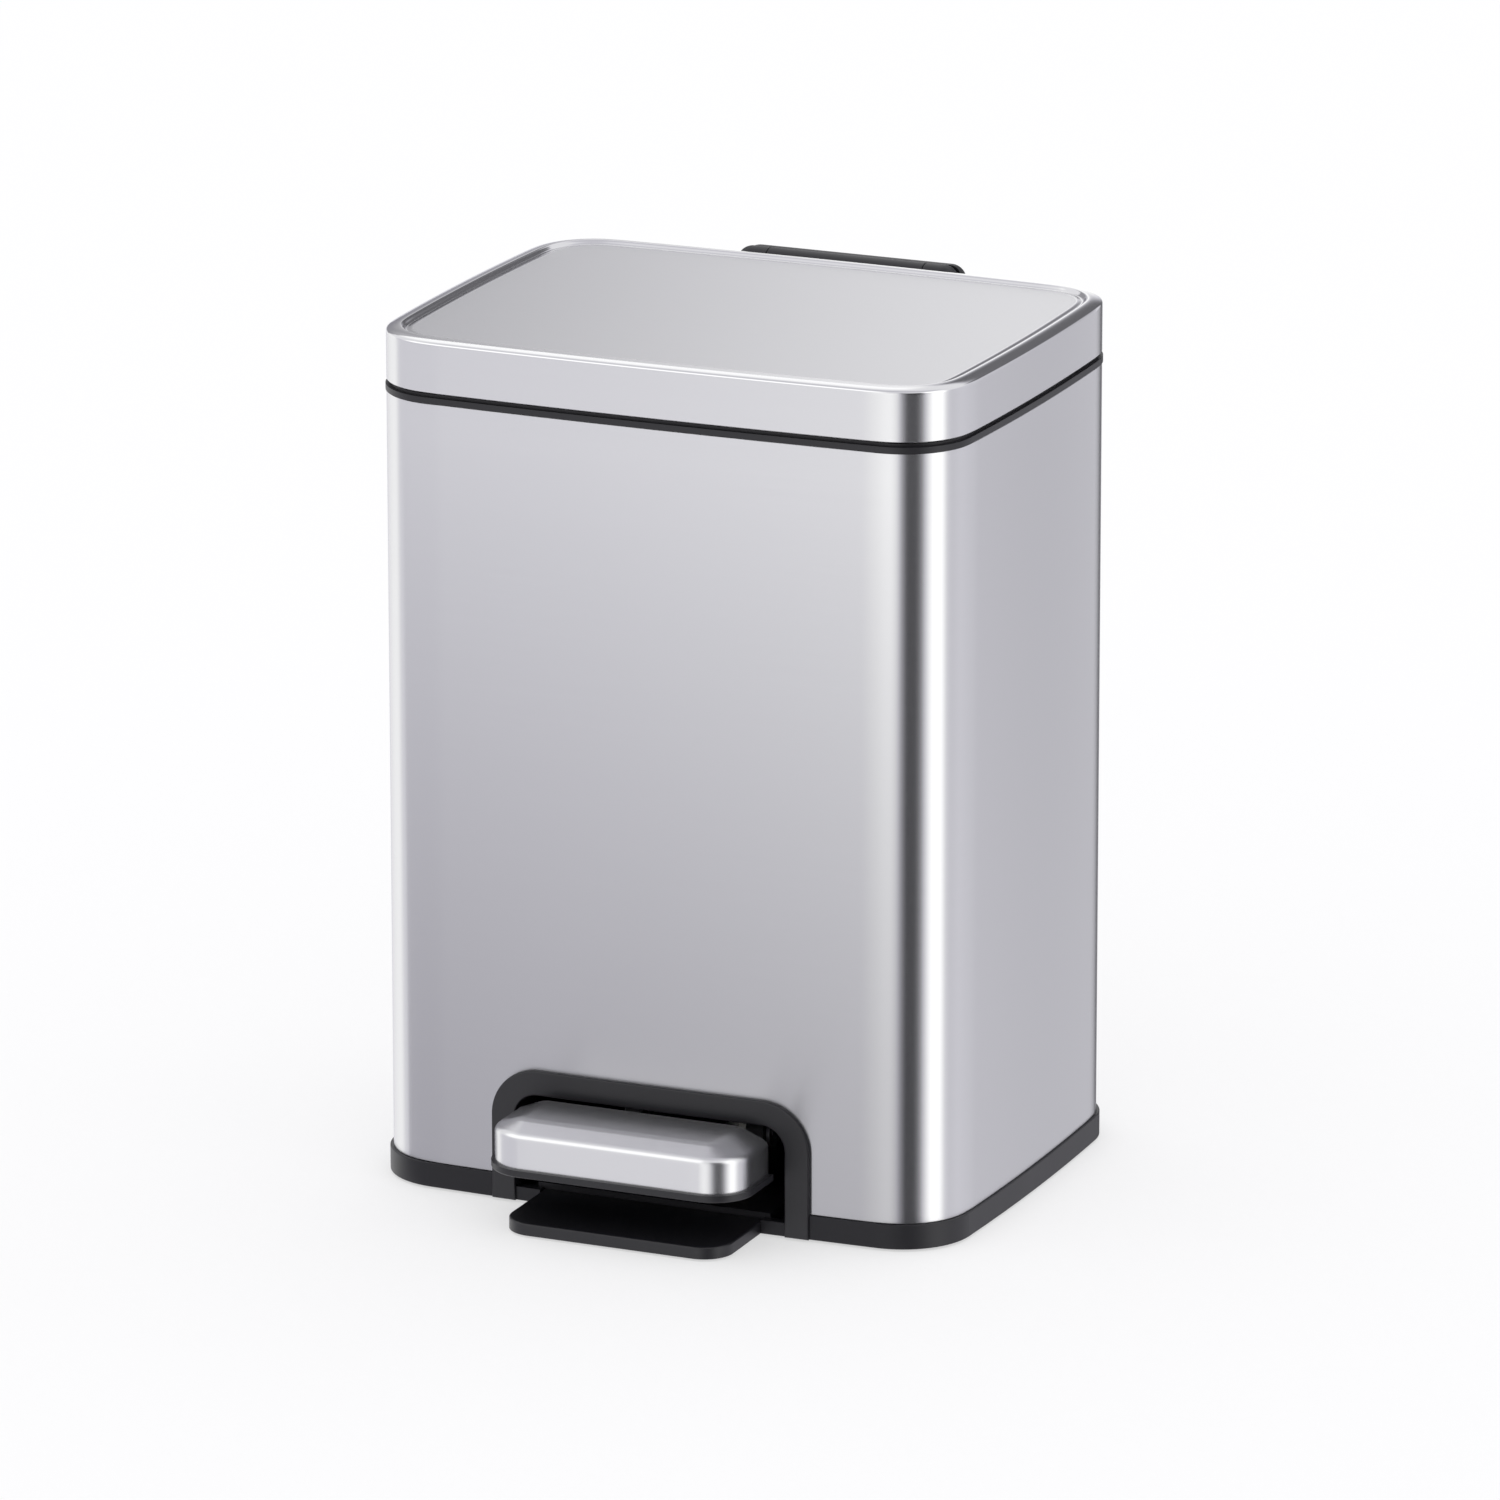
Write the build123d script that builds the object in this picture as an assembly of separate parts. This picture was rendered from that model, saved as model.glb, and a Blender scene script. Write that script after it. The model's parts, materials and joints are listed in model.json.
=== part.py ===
from build123d import *
import os
from math import asin, cos, degrees, radians, sin

os.makedirs("parts", exist_ok=True)

# Pedal trash can, in millimetres. +Z is up, the front faces -Y and X runs across.
# The pieces are drawn round the upright axis through the centre of the body's plan. When they are
# written, they move back by origin_shift, so that the origin is on the floor, midway between the
# front of the pedal and the back of the hinge housing.

# ---------------------------------------------------------------- driving sizes
# body
body_width = 205.0
body_depth = 156.0
corner_radius = 23.0
face_crown = 2.5  # how far each face bows out between its corners
shell_height = 255.6
shell_sheet = 0.8
fit_gap = 0.1  # between pieces that are fastened together
hole_clearance = 0.05  # round a pin, a shank or a wire

# base
foot_protrusion = 0.8
skirt_height = 8.2
skirt_outset = 0.8
skirt_edge = 0.3
tray_floor = 2.0
tray_wall = 2.0
upstand_height = 15.0
sill_height = 4.6

# pedal opening and its surround
opening_width = 95.4
opening_height = 37.7  # above the floor
opening_corner = 8.3
surround_band = 8.3
surround_proud = 1.8
surround_edge = 0.5
surround_sleeve = 2.0
sleeve_depth = 16.0
surround_tab = 11.0

# front foot plate
foot_width = 78.0
foot_reach = 32.4  # in front of the body
foot_thickness = 4.0
foot_corner = 10.0
foot_edge = 0.6
foot_seat = 26.0  # length under the base
foot_pad_cover = 2.0

# rubber feet
pad_radius = 7.0
pad_small_radius = 5.0
pad_height = 2.2
pad_edge_x = 18.5  # from the sides of the body
pad_edge_y = 20.0  # from the front and the back
pad_small_x = 26.0
pad_small_edge = 13.0  # from the front edge of the foot plate

# collar
seam_height = 3.4
collar_lip = 2.0  # height of the band that is flush with the sleeve
collar_neck_inset = 1.4
collar_gap = 0.5  # under the lid
collar_wall = 1.5
collar_skirt = 14.6
ledge_sheet = 1.8
ledge_drop = 3.5  # top of the ledge below the top of the shell

# lid
lid_height = 17.6
lid_sheet = 0.8
lid_edge_radius = 1.6
rim_crest = 7.2
rim_width = 10.0
panel_drop = 1.6
hem_width = 1.6
hem_height = 0.8
liner_sheet = 1.8
liner_gap = 0.15
bumper_length = 12.0
bumper_width = 0.9
bumper_inset = 1.7
bumper_gap = 0.1
bumper_x = 60.0

# lid hinge
hinge_radius = 5.3
hinge_gap = 0.5  # between the barrel and the back of the lid
hinge_below_lid_top = 5.6
hinge_pin_radius = 1.5
knuckle_width = 6.0
knuckle_gap = 0.3
hinge_end_gap = 0.3  # between the barrel's rounded ends and the shield
hinge_cap = 5.3
lid_opening = 80.0  # degrees

# hinge housing
housing_width = 84.0
housing_depth = 14.0
housing_height = 58.0
housing_top_gap = 10.0  # top of the housing below the hinge axis
housing_corner = 8.0
shield_sheet = 2.4  # the wall that rises behind the barrel
shield_below_lid_top = 1.6
shield_edge = 0.6
recess_cover = 32.0  # height of the housing above the recess
recess_wall = 2.7
backing_width = 68.0
backing_height = 11.5
backing_sheet = 1.2
backing_screw_x = 26.0

# push rod
rod_radius = 1.8
rod_bend = 3.0
horn_reach = 12.0  # level distance from the hinge axis to the rod at rest
horn_x = 4.6
horn_width = 4.6
horn_radius = 3.1
rod_side_gap = 0.4
guide_wall = 1.5
guide_side = 2.5
guide_front_gap = 0.45
block_plate = 2.4
block_reach = 32.0  # of the block's plate in front of the hinge axis
block_pocket_left = 8.0
block_pocket_right = 17.0
block_roof_drop = 4.9  # roof of the block's pocket below the hinge axis

# pedal lever
pivot_setback = 42.0  # of the pivot behind the front of the body
pivot_z = 21.0
axle_radius = 2.5
post_width = 6.0
post_depth = 14.0
post_top = 6.5
bush_wall = 1.5
bush_flange = 3.1
bush_flange_width = 1.5
retainer_width = 1.2
retainer_wall = 2.4
retainer_gap = 0.2
lever_width = 30.0
lever_sheet = 1.6
lever_seat = 3.8  # top of the lever above the lower edge of the cap
lever_rear_top = 17.5
lever_tail = 4.3  # behind the rod
lever_ear = 10.0  # length of the deep rear end in front of the rod
lever_bay_gap = 4.0  # round the lever's rear end in the tray and the cover
slot_side = 0.9  # clearance over and under the rod in the lever's slot
slot_slack = 0.3

# pedal
cap_width = 89.0
cap_depth = 27.0
cap_gap = 6.5  # between the cap and the front of the body
cap_bottom = 23.2
cap_side_height = 11.2  # up to the ridge
cap_height = 15.2
cap_corner = 13.0
cap_top_corner = 3.0
cap_side_slope = 10.0
cap_front_slope = 6.5
cap_sheet = 0.8
pedal_rim = 1.2
pedal_rim_height = 2.5
pedal_rim_edge = 0.8

# mechanism cover and bucket
cover_height = 44.0
cover_sheet = 2.0
boss_radius = 4.0
boss_edge_x = 38.5  # from the sides of the body
boss_edge_y = 32.0  # from the front and the back
bucket_gap = 0.8
flange_width = 3.0
flange_sheet = 2.0
flange_seat = 0.2
bucket_wall = 1.5
bucket_floor = 1.8
bucket_taper = 2.5
bucket_rear_gap = 4.2  # between the bucket's flange and the rod guide
ledge_clearance = 0.5
bail_radius = 1.7
bail_drop = 6.5
bail_inset = 8.0
bail_end = 6.0
bail_end_bend = 3.0
bail_corner = 14.0
ear_depth = 5.0
ear_width = 12.0
ear_height = 10.0

# screws
screw_radius = 1.5
screw_head_radius = 2.8
screw_head_height = 1.8
screw_recess = 0.8
base_screw_length = 10.0
screw_recess_width = 0.7
small_screw = 1.1
small_head_radius = 2.0
small_head_height = 1.3

# ---------------------------------------------------------------- places that follow
base_bottom = foot_protrusion
floor_top = base_bottom + tray_floor
sill_top = base_bottom + sill_height
skirt_top = base_bottom + skirt_height
upstand_top = skirt_top + upstand_height
shell_top = skirt_top + shell_height
lid_bottom = shell_top + seam_height
lid_top = lid_bottom + lid_height
front_y = -body_depth / 2
back_y = body_depth / 2
pad_x = body_width / 2 - pad_edge_x
pad_y = back_y - pad_edge_y
boss_x = body_width / 2 - boss_edge_x
boss_y = back_y - boss_edge_y

inner_fit = shell_sheet + fit_gap
tray_inner = inner_fit + tray_wall
collar_inner = inner_fit + collar_wall
collar_top = lid_bottom - collar_gap
ledge_top = shell_top - ledge_drop

opening_half = opening_width / 2
surround_half = opening_half + surround_band
surround_top = opening_height + surround_band
sleeve_half = opening_half + surround_sleeve
sleeve_top = opening_height + surround_sleeve
sleeve_corner = opening_corner + surround_sleeve
sleeve_back = front_y + sleeve_depth
surround_screw_x = sleeve_half + surround_tab / 2
surround_screw_y = sleeve_back - surround_tab / 2

foot_front = front_y - foot_reach
foot_back = front_y + foot_seat
foot_top = base_bottom + foot_thickness
foot_screw_x = foot_width / 4
foot_screw_y = foot_back - foot_seat / 3

panel_z = lid_top - panel_drop
lid_inner_top = panel_z - lid_sheet
liner_top = lid_inner_top - fit_gap
liner_plate_z = liner_top - liner_sheet
liner_bottom = lid_bottom + hem_height + fit_gap
liner_outer = lid_sheet + liner_gap
liner_inner = liner_outer + liner_sheet

hinge_y = back_y + hinge_gap + hinge_radius
hinge_z = lid_top - hinge_below_lid_top
knuckle_end = housing_width / 2 - shield_sheet - hinge_end_gap - hinge_cap
knuckle_start = knuckle_end - knuckle_width
block_half = knuckle_start - knuckle_gap
housing_top = hinge_z - housing_top_gap
housing_bottom = housing_top - housing_height
recess_top = housing_top - recess_cover
shield_top = lid_top - shield_below_lid_top
shield_reach = housing_corner
backing_z = shell_top - collar_skirt - fit_gap - backing_height / 2

cap_back = front_y - cap_gap
cap_front = cap_back - cap_depth
cap_ridge = cap_bottom + cap_side_height
cap_top = cap_bottom + cap_height
pivot_y = front_y + pivot_setback
lever_front_top = cap_bottom + lever_seat

horn_angle = lid_opening / 2
horn_length = horn_reach / cos(radians(horn_angle))
horn_y = hinge_y - horn_reach
horn_z = hinge_z - horn_length * sin(radians(horn_angle))
rod_lift = 2 * horn_length * sin(radians(horn_angle))
rod_forward = horn_length - horn_reach
rod_bottom = pivot_z - rod_lift / 2
rod_arm = horn_y - pivot_y
lever_swing = 2 * degrees(asin(rod_lift / 2 / (rod_arm**2 + (rod_lift / 2) ** 2) ** 0.5))
lever_half = lever_width / 2
lever_back = horn_y + lever_tail
lever_front = cap_front + cap_sheet + 2 * fit_gap
guide_front = horn_y - rod_forward - rod_radius - guide_front_gap - guide_wall
guide_half = rod_radius + guide_side

bush_radius = axle_radius + bush_wall
post_start = lever_half + bush_flange + 2 * retainer_gap
post_end = post_start + post_width
axle_half = post_end + retainer_width + 2 * retainer_gap

flange_width_total = body_width - 2 * (collar_inner + bucket_gap)
flange_front = front_y + collar_inner + bucket_gap
flange_back = guide_front - bucket_rear_gap
flange_depth = flange_back - flange_front
bucket_y = (flange_front + flange_back) / 2
flange_radius = corner_radius - collar_inner - bucket_gap
flange_bottom = ledge_top + flange_seat
bucket_top = flange_bottom + flange_sheet
bail_z = bucket_top - bail_drop
bail_half = flange_width_total / 2 - flange_width - bucket_wall - bail_inset
bail_front = flange_front + flange_width + bucket_wall + bail_inset

origin_shift = -(cap_front - pedal_rim + back_y + housing_depth) / 2

print("origin shift", round(origin_shift, 3))
print("lid opening", lid_opening, "lever swing", round(lever_swing, 3), "rod lift", round(rod_lift, 3))
print("hinge", round(hinge_y + origin_shift, 3), round(hinge_z, 3))
print("horn", round(horn_y + origin_shift, 3), round(horn_z, 3))
print("pivot", round(pivot_y + origin_shift, 3), pivot_z, "rod bottom", round(rod_bottom, 3))


# ---------------------------------------------------------------- shared forms
def crowned(width, depth, radius):
    """Plan outline with four bowed faces and rounded corners."""
    x = width / 2
    y = depth / 2
    a = x - face_crown
    b = y - face_crown
    front = ThreePointArc((-a, -b), (0, -y), (a, -b))
    right = ThreePointArc((a, -b), (x, 0), (a, b))
    back = ThreePointArc((a, b), (0, y), (-a, b))
    left = ThreePointArc((-a, b), (-x, 0), (-a, -b))
    face = make_face([front, right, back, left])
    return fillet(face.vertices(), radius)


def outline(inset):
    """The body's outline, moved in by inset, or out where inset is negative."""
    return crowned(body_width - 2 * inset, body_depth - 2 * inset, corner_radius - inset)


def prism(inset, bottom, top):
    return Pos(0, 0, bottom) * extrude(outline(inset), top - bottom)


def ring(outer, inner, bottom, top):
    return prism(outer, bottom, top) - prism(inner, bottom, top)


def block(x0, x1, y0, y1, z0, z1):
    """A box between two corners."""
    centre = Pos((x0 + x1) / 2, (y0 + y1) / 2, (z0 + z1) / 2)
    return centre * Box(abs(x1 - x0), abs(y1 - y0), abs(z1 - z0))


def arch(half, bottom, top, radius, back):
    """An upright arch-shaped block in the front wall, rounded at its two top corners."""
    body = block(-half, half, 2 * front_y, back, bottom, top)
    return fillet(body.edges().filter_by(Axis.Y).group_by(Axis.Z)[-1], radius)


def rod_x(radius, x0, x1, y, z):
    """A round bar along X."""
    return Pos((x0 + x1) / 2, y, z) * Rot(0, 90, 0) * Cylinder(radius, abs(x1 - x0))


def rod_z(radius, x, y, z0, z1):
    """A round bar along Z."""
    return Pos(x, y, (z0 + z1) / 2) * Cylinder(radius, z1 - z0)


def screw(length, radius=screw_radius, head_radius=screw_head_radius, head_height=screw_head_height):
    """A pan-head screw that points up, with the underside of its head at the origin."""
    body = rod_z(radius, 0, 0, 0, length) + rod_z(head_radius, 0, 0, -head_height, 0)
    for turn in (0, 90):
        body -= Pos(0, 0, -head_height) * Rot(0, 0, turn) * Box(
            head_radius * 1.2, screw_recess_width, 2 * screw_recess
        )
    return body


def both_sides(solid):
    """A solid and its mirror image across the middle plane."""
    return [solid, mirror(solid, Plane.YZ)]


def save(shape, name):
    """Write a piece, or a group of like pieces, moved back by origin_shift."""
    pieces = shape if isinstance(shape, list) else [shape]
    moved = [Pos(0, origin_shift, 0) * piece for piece in pieces]
    whole = Compound(children=moved) if len(moved) > 1 else moved[0]
    export_step(whole, f"parts/{name}.step")


# ---------------------------------------------------------------- body
def body_shell():
    """Bent steel sleeve, open at the top and bottom, with the arched cut-out for the pedal."""
    shell = ring(0, shell_sheet, skirt_top, shell_top)
    gap = fit_gap
    shell -= arch(sleeve_half + gap, 0, sleeve_top + gap, sleeve_corner + gap, sleeve_back)
    for x in (-backing_screw_x, backing_screw_x):
        shell -= Pos(x, back_y, backing_z) * Rot(90, 0, 0) * Cylinder(screw_radius + fit_gap, 10)
    return shell


def rim_collar():
    """Ring on top of the sleeve: a flush band, a neck in the seam, a skirt inside and a ledge for the bucket."""
    lip = ring(0, collar_inner, shell_top, shell_top + collar_lip)
    neck = ring(collar_neck_inset, collar_inner, shell_top + collar_lip, collar_top)
    skirt = ring(inner_fit, collar_inner, shell_top - collar_skirt, shell_top)
    mouth = crowned(
        flange_width_total - 2 * flange_width + 2 * ledge_clearance,
        flange_depth - 2 * flange_width + 2 * ledge_clearance,
        flange_radius - flange_width + ledge_clearance,
    )
    ledge = prism(collar_inner - fit_gap, ledge_top - ledge_sheet, ledge_top)
    ledge -= Pos(0, bucket_y, ledge_top - 2 * ledge_sheet) * extrude(mouth, 3 * ledge_sheet)
    front = horn_y - rod_forward - rod_radius - guide_front_gap
    slot = block(-guide_half, guide_half, front, back_y - collar_inner, ledge_top - 2 * ledge_sheet, ledge_top + 1)
    return lip + neck + skirt + (ledge - slot)


def base_tray():
    """Plastic base: the visible skirt, a floor, an upstand inside the sleeve and the lever's posts."""
    skirt = prism(-skirt_outset, base_bottom, skirt_top)
    skirt = fillet(skirt.edges().group_by(Axis.Z)[-1] + skirt.edges().group_by(Axis.Z)[0], skirt_edge)
    tray = skirt + prism(inner_fit, skirt_top, upstand_top)
    tray -= prism(tray_inner, floor_top, upstand_top)
    tray -= lever_bay(floor_top, upstand_top)
    tray -= arch(sleeve_half + fit_gap, sill_top, upstand_top + opening_corner + 1, opening_corner, sleeve_back)
    legs = arch(surround_half + fit_gap, 0, surround_top, opening_corner, front_y / 2)
    legs -= arch(opening_half, 0, surround_top, opening_corner, front_y / 2)
    tray -= legs & ring(-2 * surround_proud, 0, base_bottom, skirt_top)
    pad_top = foot_top + fit_gap + foot_pad_cover
    seat = foot_width / 2 + fit_gap
    tray += block(-seat - tray_wall, seat + tray_wall, front_y + tray_inner, foot_back + tray_wall,
                  base_bottom, pad_top)
    tray -= block(-seat, seat, 2 * front_y, foot_back + fit_gap, 0, foot_top + fit_gap)
    tray -= block(-seat, seat, 2 * front_y, front_y + tray_inner, 0, sill_top + 1)
    for side in (-1, 1):
        x = side * (post_start + post_end) / 2
        post = block(x - post_width / 2, x + post_width / 2, pivot_y - post_depth / 2,
                     pivot_y + post_depth / 2, floor_top - tray_floor / 2, pivot_z + post_top)
        tray += fillet(post.edges().filter_by(Axis.X).group_by(Axis.Z)[-1], post_depth / 3)
        tray += rod_z(boss_radius, side * surround_screw_x, surround_screw_y, base_bottom, sill_top)
    tray -= rod_x(axle_radius + hole_clearance, -2 * post_end, 2 * post_end, pivot_y, pivot_z)
    for x, y in base_screw_places():
        tray -= rod_z(screw_radius + fit_gap, x, y, 0, upstand_top)
        tray -= rod_z(screw_head_radius + fit_gap, x, y, 0, base_bottom + screw_head_height)
        tray += rod_z(boss_radius, x, y, floor_top - fit_gap, 2 * floor_top) - rod_z(
            screw_radius + fit_gap, x, y, 0, upstand_top)
    for x in (-surround_screw_x, surround_screw_x):
        tray -= rod_z(screw_radius + hole_clearance, x, surround_screw_y, floor_top - tray_floor / 2, sill_top)
    for x in (-foot_screw_x, foot_screw_x):
        tray -= rod_z(screw_radius + hole_clearance, x, foot_screw_y, foot_top, pad_top)
    for x in (-pad_x, pad_x):
        for y in (-pad_y, pad_y):
            tray -= rod_z(pad_radius, x, y, 0, pad_height)
    return tray


def lever_bay(bottom, top):
    """The cut in the back walls of the tray and the cover for the lever's rear end."""
    half = lever_half + lever_bay_gap
    return block(-half, half, back_y / 2, back_y - shell_sheet, bottom, top)


def base_screw_places():
    return [(x, y) for x in (-boss_x, boss_x) for y in (-boss_y, boss_y)]


def base_screws():
    """Four screws up through the tray's floor into the bosses of the mechanism cover."""
    seat = base_bottom + screw_head_height
    return [Pos(x, y, seat) * screw(base_screw_length) for x, y in base_screw_places()]


def pedal_surround():
    """Arched frame of the pedal opening: a band over the sleeve's cut edge and a lining inside it."""
    deep = front_y / 2
    band = arch(surround_half, base_bottom, surround_top, opening_corner + surround_band, deep)
    band -= arch(opening_half, 0, opening_height, opening_corner, deep)
    band &= ring(-surround_proud, 0, base_bottom, surround_top)
    band = fillet(band.faces().sort_by(Axis.Y)[0].edges(), surround_edge)
    lining = arch(sleeve_half, sill_top, sleeve_top, sleeve_corner, sleeve_back)
    lining -= arch(opening_half, 0, opening_height, opening_corner, sleeve_back)
    frame = band + (lining & prism(-surround_proud / 2, base_bottom, surround_top))
    for side in (-1, 1):
        inner = side * (sleeve_half - surround_sleeve / 2)
        outer = side * (sleeve_half + surround_tab)
        tab = block(inner, outer, sleeve_back - surround_tab, sleeve_back, sill_top, sill_top + surround_sleeve)
        tab -= rod_z(screw_radius + fit_gap, side * surround_screw_x, surround_screw_y, 0, surround_top)
        frame += tab
    return frame


def surround_screws():
    """Two screws down through the surround's tabs into the tray."""
    top = sill_top + surround_sleeve
    length = top - floor_top
    down = Pos(surround_screw_x, surround_screw_y, top) * Rot(180, 0, 0) * screw(length)
    return both_sides(down)


def front_foot():
    """Flat plate on the floor in front of the base, seated in a recess under the tray."""
    half = foot_width / 2
    plate = block(-half, half, foot_front, foot_back, base_bottom, foot_top)
    corners = plate.edges().filter_by(Axis.Z).group_by(Axis.Y)[0]
    plate = fillet(corners, foot_corner)
    plate = fillet(plate.faces().sort_by(Axis.Z)[-1].edges().sort_by(Axis.Y)[:-1], foot_edge)
    for side in (-1, 1):
        plate -= rod_z(screw_radius + fit_gap, side * foot_screw_x, foot_screw_y, 0, foot_top)
        plate -= rod_z(screw_head_radius + fit_gap, side * foot_screw_x, foot_screw_y, 0,
                       base_bottom + screw_head_height)
        plate -= rod_z(pad_small_radius, side * pad_small_x, foot_front + pad_small_edge, 0, pad_height)
    return plate


def foot_screws():
    """Two screws up through the foot plate into the tray."""
    length = foot_top + foot_pad_cover - base_bottom - screw_head_height
    up = Pos(foot_screw_x, foot_screw_y, base_bottom + screw_head_height) * screw(length)
    return both_sides(up)


def rubber_feet():
    """Pads that the can stands on: four under the base and two under the foot plate."""
    pads = [rod_z(pad_radius, x, y, 0, pad_height) for x in (-pad_x, pad_x) for y in (-pad_y, pad_y)]
    y = foot_front + pad_small_edge
    return pads + [rod_z(pad_small_radius, x, y, 0, pad_height) for x in (-pad_small_x, pad_small_x)]


# ---------------------------------------------------------------- inside
def mechanism_cover():
    """False floor over the lever, which carries the bucket."""
    cover = prism(inner_fit, upstand_top, cover_height)
    cover -= prism(tray_inner, upstand_top, cover_height - cover_sheet)
    cover -= arch(sleeve_half + fit_gap, 0, sleeve_top + fit_gap, sleeve_corner, sleeve_back)
    cover -= lever_bay(upstand_top, cover_height - cover_sheet)
    for x, y in base_screw_places():
        boss = rod_z(boss_radius, x, y, 2 * floor_top, cover_height - cover_sheet / 2)
        cover += boss
        cover -= rod_z(screw_radius + hole_clearance, x, y, 0, cover_height / 2)
    front = horn_y - rod_forward - rod_radius - guide_front_gap
    cover -= block(-guide_half, guide_half, front, horn_y + rod_radius + guide_side / 2,
                   cover_height - 2 * cover_sheet, cover_height + 1)
    return cover


def rod_guide():
    """Upright channel between the bucket and the push rod."""
    outer = guide_half + guide_wall
    back = back_y - collar_inner - fit_gap
    top = ledge_top - ledge_sheet - fit_gap
    guide = block(-outer, outer, guide_front, back, cover_height, top)
    return guide - block(-guide_half, guide_half, guide_front + guide_wall, back, cover_height, top)


def bucket_plan(inset):
    return crowned(flange_width_total - 2 * inset, flange_depth - 2 * inset, flange_radius - inset)


def bucket_form(inset, bottom, top):
    """The bucket's tapered body, moved in by inset."""
    low = Pos(0, bucket_y, bottom) * bucket_plan(inset + bucket_taper)
    high = Pos(0, bucket_y, top) * bucket_plan(inset)
    return loft([low, high], ruled=True)


def inner_bucket():
    """Lift-out bucket with a flange round its mouth and two ears for the bail."""
    bucket = bucket_form(flange_width, cover_height, bucket_top)
    flange = Pos(0, bucket_y, flange_bottom) * extrude(bucket_plan(0), flange_sheet)
    bucket += flange
    bucket -= bucket_form(flange_width + bucket_wall, cover_height + bucket_floor, bucket_top + 0.001)
    wall = flange_width_total / 2 - flange_width - bucket_wall / 2
    for side in (-1, 1):
        ear = block(side * (wall - ear_depth), side * wall, bucket_y - ear_width / 2, bucket_y + ear_width / 2,
                    bail_z - ear_height / 2, bail_z + ear_height / 2)
        ear -= rod_x(bail_radius + hole_clearance, side * (wall - 2 * ear_depth),
                     side * (bail_half + bail_end + fit_gap), bucket_y, bail_z)
        bucket += ear
    return bucket


def bucket_handle():
    """Wire bail that lies round the inside of the bucket's mouth, its ends in the ears."""
    end = bail_half + bail_end
    points = [(end, bucket_y), (bail_half, bucket_y), (bail_half, bail_front)]
    points = points + [(-x, y) for x, y in reversed(points)]
    bends = [bail_end_bend, bail_corner, bail_corner, bail_end_bend]
    path = Pos(0, 0, bail_z) * FilletPolyline(*points, radius=bends)
    start = Plane(origin=(end, bucket_y, bail_z), z_dir=(-1, 0, 0))
    return sweep(start * Circle(bail_radius), path=path)


# ---------------------------------------------------------------- hinge
def knuckle(x0, x1, front):
    """A stretch of the hinge barrel and its neck, down to the housing."""
    return rod_x(hinge_radius, x0, x1, hinge_y, hinge_z) + block(
        x0, x1, front, hinge_y + hinge_radius, housing_top - shield_sheet, hinge_z)


def housing_plan(inset):
    """Plan of the housing: straight sides from inside the body and two rounded rear corners."""
    half = housing_width / 2 - inset
    rear = back_y + housing_depth - inset
    plan = Pos(0, (back_y / 2 + rear) / 2) * Rectangle(2 * half, rear - back_y / 2)
    return fillet(plan.vertices().group_by(Axis.Y)[-1], housing_corner - inset)


def hinge_housing():
    """Housing behind the body: two fixed knuckles, a finger recess and a shield behind the barrel."""
    half = housing_width / 2
    rear = back_y + housing_depth
    housing = Pos(0, 0, housing_bottom) * extrude(housing_plan(0), housing_top - housing_bottom)
    shield = Pos(0, 0, housing_top) * extrude(housing_plan(0), shield_top - housing_top)
    shield -= Pos(0, 0, housing_top) * extrude(housing_plan(shield_sheet), shield_top - housing_top)
    shield &= shield_face()
    shield = fillet(shield.edges().filter_by(Axis.X).group_by(Axis.Z)[-1].group_by(Axis.Y)[-1], shield_edge)
    housing -= block(-half + recess_wall, half - recess_wall, 0, rear - recess_wall,
                     housing_bottom, recess_top)
    housing += shield
    for side in (-1, 1):
        housing += knuckle(side * knuckle_start, side * knuckle_end, back_y + hinge_gap)
        housing -= Pos(side * backing_screw_x, back_y, backing_z) * Rot(90, 0, 0) * Cylinder(
            screw_radius + hole_clearance, housing_depth)
    housing -= prism(0, 0, shell_top) + prism(0, shell_top, housing_top + 1)
    return housing - rod_x(hinge_pin_radius + hole_clearance, -body_width, body_width, hinge_y, hinge_z)


def shield_face():
    """Outline of the shield seen from behind, with two rounded top corners, as a block over its depth."""
    height = shield_top - housing_top
    face = Pos(0, housing_top + height / 2) * Rectangle(housing_width, height)
    face = fillet(face.vertices().group_by(Axis.Y)[-1], housing_corner)
    return Pos(0, back_y + housing_depth, 0) * Rot(90, 0, 0) * extrude(face, shield_reach)


def hinge_end_caps():
    """Rounded caps on the two ends of the hinge barrel."""
    ball = Pos(knuckle_end, hinge_y, hinge_z) * Sphere(hinge_radius)
    cap = ball & block(knuckle_end, knuckle_end + 2 * hinge_cap, 0, body_depth, 0, 2 * lid_top)
    return both_sides(cap)


def hinge_pin():
    return rod_x(hinge_pin_radius, -knuckle_end, knuckle_end, hinge_y, hinge_z)


def hinge_backing_plate():
    """Steel strip inside the sleeve that spreads the load of the hinge screws."""
    half = backing_height / 2
    plate = ring(inner_fit, inner_fit + backing_sheet, backing_z - half, backing_z + half)
    plate &= block(-backing_width / 2, backing_width / 2, 0, body_depth, 0, lid_top)
    for x in (-backing_screw_x, backing_screw_x):
        plate -= Pos(x, back_y, backing_z) * Rot(90, 0, 0) * Cylinder(screw_radius + fit_gap, 20)
    return plate


def hinge_screws():
    """Two screws from inside the sleeve out into the hinge housing."""
    bow = face_crown * (2 * backing_screw_x / body_width) ** 2
    seat = back_y - bow - inner_fit - backing_sheet - 2 * fit_gap
    length = back_y + housing_depth / 2 - seat - 2 * fit_gap
    out = Pos(backing_screw_x, seat, backing_z) * Rot(-90, 0, 0) * screw(length)
    return both_sides(out)


# ---------------------------------------------------------------- lid
def lid_notch():
    """The cut in the back of the lid for the hinge block."""
    half = block_half + knuckle_gap
    return block(-half, half, back_y / 2, back_y + 1, lid_bottom - 1, liner_plate_z)


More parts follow.
